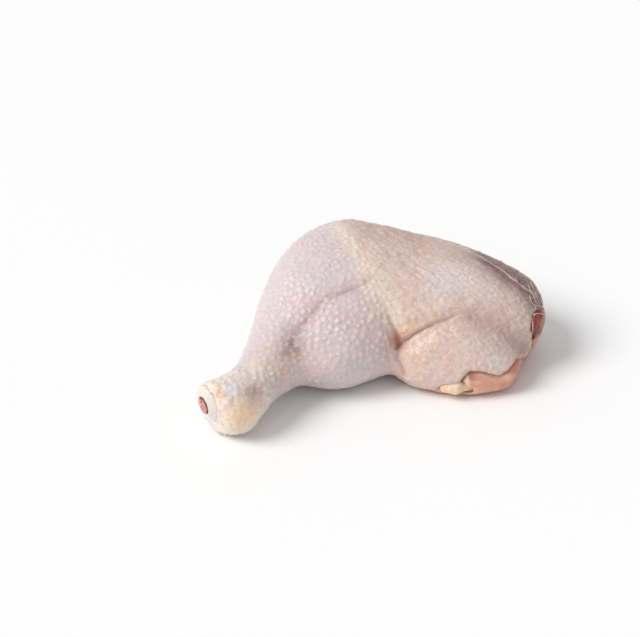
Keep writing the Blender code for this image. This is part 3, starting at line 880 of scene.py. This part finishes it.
def meat_material():
    """Salmon meat with a wet film, painted shade at the skin's edge, toward the far right and in a
    pit, streaked along its fibres.
    """
    s = Shades("meat_wet")
    salmon, pale_salmon = (0.73, 0.365, 0.265), (0.81, 0.475, 0.355)
    dark_fibre, pale_fibre = (0.62, 0.28, 0.20), (0.84, 0.58, 0.45)
    pink_cloud, ruddy_end = (0.76, 0.47, 0.43), (0.67, 0.25, 0.155)
    membrane, shadow, tendon = (0.84, 0.60, 0.43), (0.37, 0.12, 0.085), (0.84, 0.72, 0.62)
    fibres = s.noise(190.0, 4.0, 0.6, s.stretched((0.35, 1.6, 1.9)))
    broad = s.noise(70.0, 3.0)
    clouds = s.noise(110.0, 2.0)
    colour = s.mix(salmon, pale_salmon, s.span(broad, 0.35, 0.68))
    colour = s.mix(colour, dark_fibre, s.span(fibres, 0.30, 0.46, 0.50, 0.0))
    colour = s.mix(colour, pale_fibre, s.span(fibres, 0.52, 0.70, 0.0, 0.65))
    colour = s.mix(colour, pink_cloud, s.span(clouds, 0.50, 0.66, 0.0, 0.6))
    colour = s.mix(colour, ruddy_end, s.painted("ruddy", s.span(fibres, 0.35, 0.65, 1.0, 0.55)))
    colour = s.mix(colour, membrane, s.painted("tan"))
    colour = s.mix(colour, shadow, s.painted("shade", 0.78))
    colour = s.mix(colour, tendon, s.painted("film"))
    normal = s.bump(fibres, 0.9 * MM, 0.8)
    normal = s.bump(s.noise(700.0, 3.0), 0.2 * MM, 0.6, normal)
    roughness = s.span(broad, 0.3, 0.7, 0.22, 0.36)
    return s.finish(colour, roughness, normal,
                    flesh=0.8, depth=2.5 * MM, coat=0.5, coat_roughness=0.10)


def dark_meat_material():
    """Dark red-orange meat at the joint."""
    s = Shades("dark_meat_wet")
    dark_red, orange_red, clot = (0.24, 0.036, 0.020), (0.46, 0.105, 0.048), (0.12, 0.024, 0.024)
    lumps = s.noise(330.0, 4.0, 0.65)
    broad = s.noise(150.0, 2.0)
    colour = s.mix(dark_red, orange_red, s.span(lumps, 0.42, 0.62))
    colour = s.mix(colour, clot, s.span(broad, 0.52, 0.70))
    normal = s.bump(lumps, 0.6 * MM, 0.7)
    return s.finish(colour, 0.30, normal, flesh=0.6, depth=1.5 * MM, coat=0.3, coat_roughness=0.12)


def fat_material():
    """Cream-yellow fat in soft globes."""
    s = Shades("fat_soft")
    yellow, cream, pink = (0.81, 0.57, 0.39), (0.88, 0.70, 0.54), (0.78, 0.50, 0.36)
    broad = s.noise(120.0, 3.0)
    globes = s.cells(420.0, "SMOOTH_F1")
    colour = s.mix(yellow, cream, s.span(broad, 0.35, 0.65))
    colour = s.mix(colour, pink, s.span(broad, 0.60, 0.78, 0.0, 0.5))
    normal = s.bump(globes, 0.4 * MM, 0.5)
    return s.finish(colour, 0.34, normal, flesh=0.8, depth=2.5 * MM, coat=0.3, coat_roughness=0.15)


def cartilage_material():
    """White, pearly cartilage."""
    s = Shades("cartilage_pearl")
    white, blue_white = (0.72, 0.66, 0.63), (0.68, 0.63, 0.65)
    rosy, yellow = (0.80, 0.50, 0.46), (0.82, 0.70, 0.56)
    broad = s.noise(240.0, 3.0)
    fine = s.noise(900.0, 3.0)
    colour = s.mix(white, blue_white, s.span(broad, 0.4, 0.66))
    colour = s.mix(colour, rosy, s.painted("rosy", 0.55))
    colour = s.mix(colour, yellow, s.painted("amber", 0.6))
    normal = s.bump(fine, 0.25 * MM, 0.5)
    roughness = s.span(fine, 0.3, 0.7, 0.22, 0.36)
    return s.finish(colour, roughness, normal,
                    flesh=0.85, depth=2.5 * MM, coat=0.5, coat_roughness=0.10)


def strand_material():
    """Pale, pinkish torn tissue."""
    s = Shades("strand_wet")
    dull_pink, pale_pink = (0.50, 0.33, 0.30), (0.66, 0.52, 0.48)
    fine = s.noise(800.0, 3.0)
    colour = s.mix(dull_pink, pale_pink, s.span(fine, 0.35, 0.65))
    normal = s.bump(fine, 0.2 * MM, 0.5)
    return s.finish(colour, 0.32, normal, flesh=0.7, depth=1.0 * MM, coat=0.3, coat_roughness=0.15)


def marrow_material():
    """Spongy red marrow with pink lumps."""
    s = Shades("marrow_spongy")
    dark_red, rose = (0.42, 0.10, 0.09), (0.72, 0.36, 0.30)
    pink_lump, dark_rim = (0.86, 0.62, 0.54), (0.20, 0.05, 0.06)
    clots = s.noise(900.0, 3.0, 0.6)
    pores = s.cells(1500.0)
    colour = s.mix(dark_red, rose, s.span(clots, 0.42, 0.60))
    colour = s.mix(colour, pink_lump, s.span(clots, 0.60, 0.72))
    colour = s.mix(colour, dark_rim, s.painted("rim", 0.8))
    normal = s.bump(pores, 0.3 * MM, 0.6)
    return s.finish(colour, 0.30, normal, flesh=0.5, depth=1.0 * MM, coat=0.4, coat_roughness=0.10)


# Pieces

def make_skin(material):
    """The whole leg's outside, cut back to where skin covers it, in relief and thickened."""
    mesh = evenly_meshed(
        joined_nodes("skin", "meat", "shin_bone", "marrow", "back_meat", "thigh_fat"), SKIN_VOXEL
    )
    points = read_points(mesh)
    bare = bare_depth(points)
    smoothed(mesh, 6)
    drop_points(mesh, bare > SKIN_REACH)
    even_rim(mesh, 14)
    lay_down(mesh)
    points = read_points(mesh)
    reach = edge_reach(mesh, points)
    smoothed(mesh, 26, ease(1.0 - reach / (2.0 * MM)))
    points = read_points(mesh)
    height, tops = skin_relief(points, reach)
    write_points(mesh, points + read_normals(mesh) * height[:, None])
    paint_skin(mesh, points, tops, reach)
    shell = thickened(mesh, reach)
    write_points(shell, read_points(shell))
    return finished("skin_look", shell, "skin", material)


def fold_shares(points, thigh, mottle):
    """Colours of the calf's seam, the knee's pit, the crease and the ridge over it: the seam's vein
    and flecks, and painted shade in the seam, the pit, the crease and under the ridge.
    """
    near_seam, along_seam = away_from(points, ROUTES["calf_seam"])
    near_pit, along_pit = away_from(points, ROUTES["knee_pit"])
    near_crease, along_crease = away_from(points, ROUTES["crease"])
    near_ridge, along_ridge = away_from(points, ROUTES["above_crease"])
    # The seam's purple vein, with painted shade in its crease
    seam_line = bell(near_seam, 1.3 * MM) * (0.75 - 0.45 * along_seam) * ease(1.2 + 2.0 * mottle)
    seam_haze = 0.62 * bell(near_seam, (3.6 + 2.2 * mottle) * MM) * (0.45 + 0.55 * along_seam)
    seam_patch = spot(points, SPOTS["seam_patch"], (6.5 + 2.5 * mottle) * MM)
    # Painted shade, tan, under the ledge over the crease, round the pit and along the crease
    ledge_shade_tan = bell(near_ridge, (4.0 + 2.0 * mottle) * MM) * (1.0 - 0.6 * along_ridge)
    pit_shade_tan = 0.85 * bell(near_pit, 8 * MM) * ease(0.25 + along_pit) * (1.0 - thigh)
    crease_shade_tan = 0.62 * bell(near_crease, 7.0 * MM) * (1.0 - along_crease)
    amber_ridge = 0.60 * bell(near_ridge, 2.6 * MM) * ease(1.15 - 1.5 * along_ridge)
    # Painted shade, red-brown, in the crease and the knee's pit
    crease_shade_line = 0.42 * bell(near_crease, 0.75 * MM) * (1.0 - 0.75 * along_crease)
    pit_shade_red = 0.85 * spot(points, SPOTS["pit_floor"], 3.8 * MM)
    return {
        "vein_and_crease_shade": [seam_line, seam_haze, seam_patch],
        "flecks": [0.7 * bell(near_seam, 5 * MM)],
        "tan": [ledge_shade_tan, pit_shade_tan, crease_shade_tan],
        "amber": [amber_ridge],
        "rosy": [crease_shade_line, pit_shade_red],
    }


def drumstick_shares(points, knob, mottle):
    """Colours of the knob, the ankle and the calf, with painted shade on the calf and in the hock's
    hollow, and a painted highlight on the knob.
    """
    pale_knob = knob * (0.45 + 0.55 * ease((mottle + 0.7) / 0.9))
    # Painted shade on the calf's right side and middle
    calf = 0.34 * spot(points, SPOTS["calf_shade"], 14 * MM)
    calf_middle_shade = 0.20 * spot(points, SPOTS["calf_middle_shade"], 11 * MM)
    shading = 0.85 + 0.5 * mottle
    return {
        "knob": [pale_knob, 0.75 * spot(points, SPOTS["ankle_cream"], 6.5 * MM)],
        "tan": [0.8 * spot(points, SPOTS["ankle"], 12 * MM)],
        "flecks": [spot(points, SPOTS["hock_red"], 5 * MM)],
        "amber": [
            1.3 * spot(points, SPOTS["hock_streaks"], 8.5 * MM),
            0.55 * spot(points, SPOTS["hock_tendon"], 3.6 * MM),
        ],
        "hem": [0.95 * spot(points, SPOTS["hock_tendon"], 3.8 * MM)],
        # painted highlight on the knob
        "painted_highlight": [spot(points, SPOTS["hock_highlight"], 3.6 * MM)],
        # painted shade, purple, in the hock's hollow
        "purple_shade": [0.44 * spot(points, SPOTS["hock_hollow"], 5.5 * MM)],
        "painted_shade": [calf * shading, calf_middle_shade * shading],
    }


def thigh_shares(points, thigh, mottle, reach):
    """Colours of the thigh's streaks and pale places, its lower edge and the band of fat, and
    painted shade toward its far side.
    """
    near_band = away_from(points, ROUTES["fat_band"])[0]
    down = streaks(points, (0.15, -0.90, -0.35), 17 * MM, 2.8 * MM, SEED + 21)
    beyond_band = thigh * ease((48 * MM - points[:, 0]) / (30 * MM))
    low_edge = ease((points[:, 0] - 35 * MM) / (10 * MM)) * ease((30 * MM - points[:, 2]) / (6 * MM))
    # Painted shade toward the thigh's far side
    ridge = ease((points[:, 1] - 12 * MM) / (30 * MM)) * thigh
    return {
        "fat": [bell(near_band, (7.5 + 3.0 * mottle) * MM)],
        "tan": [
            0.95 * spot(points, SPOTS["flap_tan"], (9.0 + 4.0 * mottle) * MM),
            0.75 * ease(2.6 * down - 0.20) * beyond_band,
        ],
        "pale": [
            0.90 * spot(points, SPOTS["thigh_pale"], (13.0 + 5.0 * mottle) * MM),
            0.80 * spot(points, SPOTS["flap_pale"], 8.0 * MM),
        ],
        "hem": [0.85 * bell(reach, (2.4 + 1.2 * mottle) * MM) * low_edge],
        "painted_shade": [0.48 * ridge * (0.85 + 0.5 * mottle)],
    }


def hip_shares(points, mottle):
    """Colours of the hip's valley and of its end with the strand along it, mostly painted shade:
    near black past the rim over thin grey skin and in the valley, purple over the end.
    """
    near_valley, along_valley = away_from(points, ROUTES["hip_valley"])
    near_rim, along_rim = away_from(points, ROUTES["rim_strand"])
    near_end, along_end = away_from(points, ROUTES["hip_end"])
    past = beyond(points, ROUTES["rim_strand"], (0.55, 0.75, -0.30))
    # Painted shade past the far rim, over thin grey skin
    rim = ease(past / (1.2 * MM)) * ease(along_rim * 2.5) * bell(near_rim, 18 * MM)
    # Painted shade, purple, below the rim and over the hip's end
    below_rim = 0.95 * bell(near_rim, (9.5 + 4.0 * mottle) * MM) * ease((along_rim - 0.12) / 0.35)
    round_end = 0.72 * bell(near_end, (9.0 + 4.0 * mottle) * MM) * ease(0.2 + along_end)
    shading = 0.85 + 0.5 * mottle
    return {
        "strand": [0.8 * bell(near_rim, 0.6 * MM) * ease(along_rim * 4.0)],
        "net": [net_zone(points)],
        "dark_shade": [rim, 0.32 * bell(near_valley, 4.5 * MM) * (0.3 + 0.7 * along_valley)],
        "purple_shade": [below_rim * (1.0 - rim), round_end * (1.0 - rim)],
        # painted shade in the hip's valley and low on the hip
        "painted_shade": [
            0.62 * bell(near_valley, 8 * MM) * shading,
            0.48 * spot(points, SPOTS["hip_shade"], 10 * MM) * shading,
        ],
    }


def paint_skin(mesh, points, tops, reach):
    """Keeps the share of each colour that the skin's material mixes."""
    thigh, knob, _ = region_shares(points)
    mottle = rough_noise(points, 7 * MM, SEED + 20)
    shares = {"thigh": [thigh], "bump": [tops * (1.0 - 0.55 * thigh)]}
    for region in (
        fold_shares(points, thigh, mottle),
        drumstick_shares(points, knob, mottle),
        thigh_shares(points, thigh, mottle, reach),
        hip_shares(points, mottle),
    ):
        for name, values in region.items():
            shares.setdefault(name, []).extend(values)
    for name, values in shares.items():
        paint(mesh, name, np.maximum.reduce(values))


def make_meat(material):
    """The meat, in relief where it is bare and sunk a little where skin covers it."""
    mesh = evenly_meshed(joined_nodes("meat"), MEAT_VOXEL)
    smoothed(mesh, 8)
    points = read_points(mesh)
    fibres = streaks(points, (0.97, 0.1, -0.2), 16 * MM, 2.6 * MM, SEED + 30)
    bundles = streaks(points, (0.95, 0.25, -0.15), 30 * MM, 7.0 * MM, SEED + 31)
    grooves = np.maximum(1.0 - 4.0 * np.abs(bundles), 0.0)
    height = 0.22 * MM * fibres - 0.5 * MM * grooves
    covered = bare_depth(points)
    in_open = ease(covered / (1.0 * MM) - 0.42)
    near_crease = bell(away_from(points, ROUTES["crease"])[0], 5 * MM)
    near_pit = bell(away_from(points, ROUTES["knee_pit"])[0], 5 * MM)
    sunk = (0.8 + 1.4 * np.maximum(near_crease, near_pit)) * MM
    height = height * in_open - fold_depth(points) - sunk * (1.0 - in_open)
    write_points(mesh, points + read_normals(mesh) * height[:, None])
    paint_meat(mesh, points, covered)
    return finished("meat_look", mesh, "meat", material)


def paint_meat(mesh, points, covered):
    """Keeps the share of each colour that the meat's material mixes."""
    right_end = ease((points[:, 0] - 54 * MM) / (12 * MM))
    # Painted shade toward the far right, under the skin's edge and in the pit
    far_right = 0.55 * ease((points[:, 0] - 60 * MM) / (12 * MM))
    under_edge = 0.55 * (1.0 - ease(covered / (1.9 * MM)))
    pit = 1.2 * spot(points, MEAT_PIT, 3.6 * MM)
    paint(mesh, "shade", np.maximum.reduce([under_edge, far_right, pit]))
    film = streaks(points, (0.5, 0.1, -0.85), 14 * MM, 2.2 * MM, SEED + 60)
    film = 0.3 * ease(film * 3 - 1.5) * (1.0 - right_end)
    tendon = 0.9 * bell(away_from(points, TENDON)[0], 0.8 * MM)
    paint(mesh, "film", np.maximum(film, tendon))
    paint(mesh, "ruddy", 0.9 * right_end)
    paint(mesh, "tan", 0.80 * bell(away_from(points, MEMBRANE)[0], 2.5 * MM))


def make_small(name, node, material, voxel, relief, paints=None, sunk=0.0):
    """A small piece remeshed from its node, in relief, painted, and sunk where skin covers it."""
    mesh = evenly_meshed(joined_nodes(node), voxel)
    smoothed(mesh, 6)
    points = read_points(mesh)
    height = relief(points)
    if sunk:
        height -= sunk * ease(0.3 - bare_depth(points) / (1.4 * MM))
    write_points(mesh, points + read_normals(mesh) * height[:, None])
    if paints:
        for key, values in paints(points).items():
            paint(mesh, key, values)
    return finished(name, mesh, node, material)


def bone_relief(points):
    """Low waves on the cartilage; the shaft inside the leg stays plain."""
    past = (points - HOCK_FACE) @ HOCK_WAY
    waves = 0.16 * MM * noise(points, 2.6 * MM, SEED + 30)
    waves += 0.10 * MM * noise(points, 1.2 * MM, SEED + 31)
    return waves * (past > -2 * MM)


def bone_paints(points):
    """A rosy ring round the marrow, and yellow clouds."""
    middle = HOCK_FACE + HOCK_WAY * 3.0 * MM
    away = np.linalg.norm(points - middle, axis=1)
    rosy = bell(away - 4.3 * MM, 1.1 * MM) * ease(noise(points, 4 * MM, SEED + 32) + 0.6)
    return {"rosy": rosy, "amber": ease(noise(points, 5 * MM, SEED + 33) * 2.0)}


def marrow_relief(points):
    """Lumps all over."""
    return 0.28 * MM * rough_noise(points, 1.5 * MM, SEED + 40)


def marrow_paints(points):
    """The dark rim."""
    spokes = points - HOCK_FACE
    spokes = spokes - np.outer(spokes @ HOCK_WAY, HOCK_WAY)
    return {"rim": ease((np.linalg.norm(spokes, axis=1) - 2.9 * MM) / (1.0 * MM))}


def back_meat_relief(points):
    """A little swollen, with lumps."""
    return 0.3 * MM + 0.7 * MM * rough_noise(points, 3.2 * MM, SEED + 41)


def fat_relief(points):
    """Lumps, and the end toward the bare meat sinking into it."""
    sinking = ease((points[:, 0] - 38.5 * MM) / (4.5 * MM))
    return (1.2 * rough_noise(points, 3.6 * MM, SEED + 44) - 1.4 * sinking) * MM


def strand_path(places, tree):
    """A run of points through three places, laid on the surface and sunk a little at its ends."""
    start, middle, end = (np.array(place) for place in places)
    bend = 2.0 * middle - 0.5 * (start + end)
    path = []
    for t in np.linspace(0.0, 1.0, STRAND_RINGS):
        place = Vector((1 - t) ** 2 * start + 2 * t * (1 - t) * bend + t**2 * end)
        hit = tree.ray_cast(place + TO_CAMERA * 8 * MM, -TO_CAMERA, 20 * MM)[0]
        lift = 0.10 * MM if 0.1 < t < 0.9 else -0.15 * MM
        path.append((hit or place) + TO_CAMERA * lift)
    return path


def add_tube(bm, path, draw):
    """A closed tube along a path, a little thicker at its ends."""
    rings = []
    for i, place in enumerate(path):
        along = (path[min(i + 1, len(path) - 1)] - path[max(i - 1, 0)]).normalized()
        across = along.cross(Vector((0.3, -0.8, 0.5))).normalized()
        up = across.cross(along)
        ends = abs(2.0 * i / (len(path) - 1) - 1.0)
        radius = STRAND_RADIUS * (0.8 + 0.7 * ends**3 + 0.35 * draw.uniform())
        ring = []
        for k in range(STRAND_SIDES):
            turn = 2.0 * math.pi * k / STRAND_SIDES
            outward = across * math.cos(turn) + up * math.sin(turn)
            ring.append(bm.verts.new(place + radius * outward))
        rings.append(ring)
    for low, high in zip(rings[:-1], rings[1:]):
        for k in range(STRAND_SIDES):
            after = (k + 1) % STRAND_SIDES
            bm.faces.new((low[k], low[after], high[after], high[k]))
    bm.faces.new(rings[0][::-1])
    bm.faces.new(rings[-1])


def make_strands(material):
    """Thin tubes of torn tissue from the skin's end over the dark meat."""
    bm = bmesh.new()
    for name in ("skin_look", "back_meat_look", "meat_look"):
        bm.from_mesh(bpy.data.objects[name].data)
    tree = BVHTree.FromBMesh(bm)
    bm.free()
    draw = np.random.default_rng(SEED + 60)
    bm = bmesh.new()
    for places in STRANDS:
        add_tube(bm, strand_path(places, tree), draw)
    bmesh.ops.recalc_face_normals(bm, faces=bm.faces)
    mesh = bpy.data.meshes.new("strands")
    bm.to_mesh(mesh)
    bm.free()
    finished("strands_look", mesh, None, material)


def make_pieces():
    """Every visible piece."""
    make_skin(skin_material())
    make_meat(meat_material())
    make_small("bone_look", "shin_bone", cartilage_material(), SMALL_VOXEL,
               bone_relief, bone_paints)
    make_small("marrow_look", "marrow", marrow_material(), MARROW_VOXEL,
               marrow_relief, marrow_paints)
    make_small("back_meat_look", "back_meat", dark_meat_material(), SMALL_VOXEL,
               back_meat_relief, sunk=COVERED_SUNK)
    make_small("thigh_fat_look", "thigh_fat", fat_material(), SMALL_VOXEL,
               fat_relief, sunk=COVERED_SUNK)
    make_strands(strand_material())


# Floor, light and camera

def make_stage():
    """A wide white floor."""
    bpy.ops.mesh.primitive_plane_add(size=FLOOR_SIDE)
    floor = bpy.context.object
    floor.name = "floor"
    s = Shades("floor_white")
    soft = s.noise(3.0, 2.0)
    s.put(s.shader.inputs["Base Color"], s.mix((0.93, 0.93, 0.93), (0.95, 0.95, 0.95), soft))
    s.put(s.shader.inputs["Roughness"], 0.75)
    floor.data.materials.append(s.material)


def make_light():
    """Even white light from all round and one soft lamp from the left."""
    world = bpy.data.worlds.new("soft_room")
    world.use_nodes = True
    background = world.node_tree.nodes["Background"]
    background.inputs["Color"].default_value = (1.0, 1.0, 1.0, 1.0)
    background.inputs["Strength"].default_value = ROOM_STRENGTH
    bpy.context.scene.world = world
    key = bpy.data.lights.new("key", "SUN")
    key.energy = LAMP_STRENGTH
    key.angle = LAMP_ANGLE
    key.color = LAMP_COLOUR
    lamp = bpy.data.objects.new("key", key)
    lamp.rotation_mode = "QUATERNION"
    lamp.rotation_quaternion = LAMP_FROM.to_track_quat("Z", "Y")
    bpy.context.scene.collection.objects.link(lamp)
    bpy.context.scene.view_settings.view_transform = "Standard"


def make_camera():
    """The camera, looking down at the leg from the front."""
    camera = bpy.data.cameras.new("camera")
    camera.lens = CAMERA_LENS
    camera.sensor_width = SENSOR
    eye = bpy.data.objects.new("camera", camera)
    eye.location = CAMERA_TARGET + TO_CAMERA * CAMERA_DISTANCE
    eye.rotation_mode = "QUATERNION"
    eye.rotation_quaternion = TO_CAMERA.to_track_quat("Z", "Y")
    bpy.context.scene.collection.objects.link(eye)
    bpy.context.scene.camera = eye


make_pieces()
make_stage()
make_light()
make_camera()
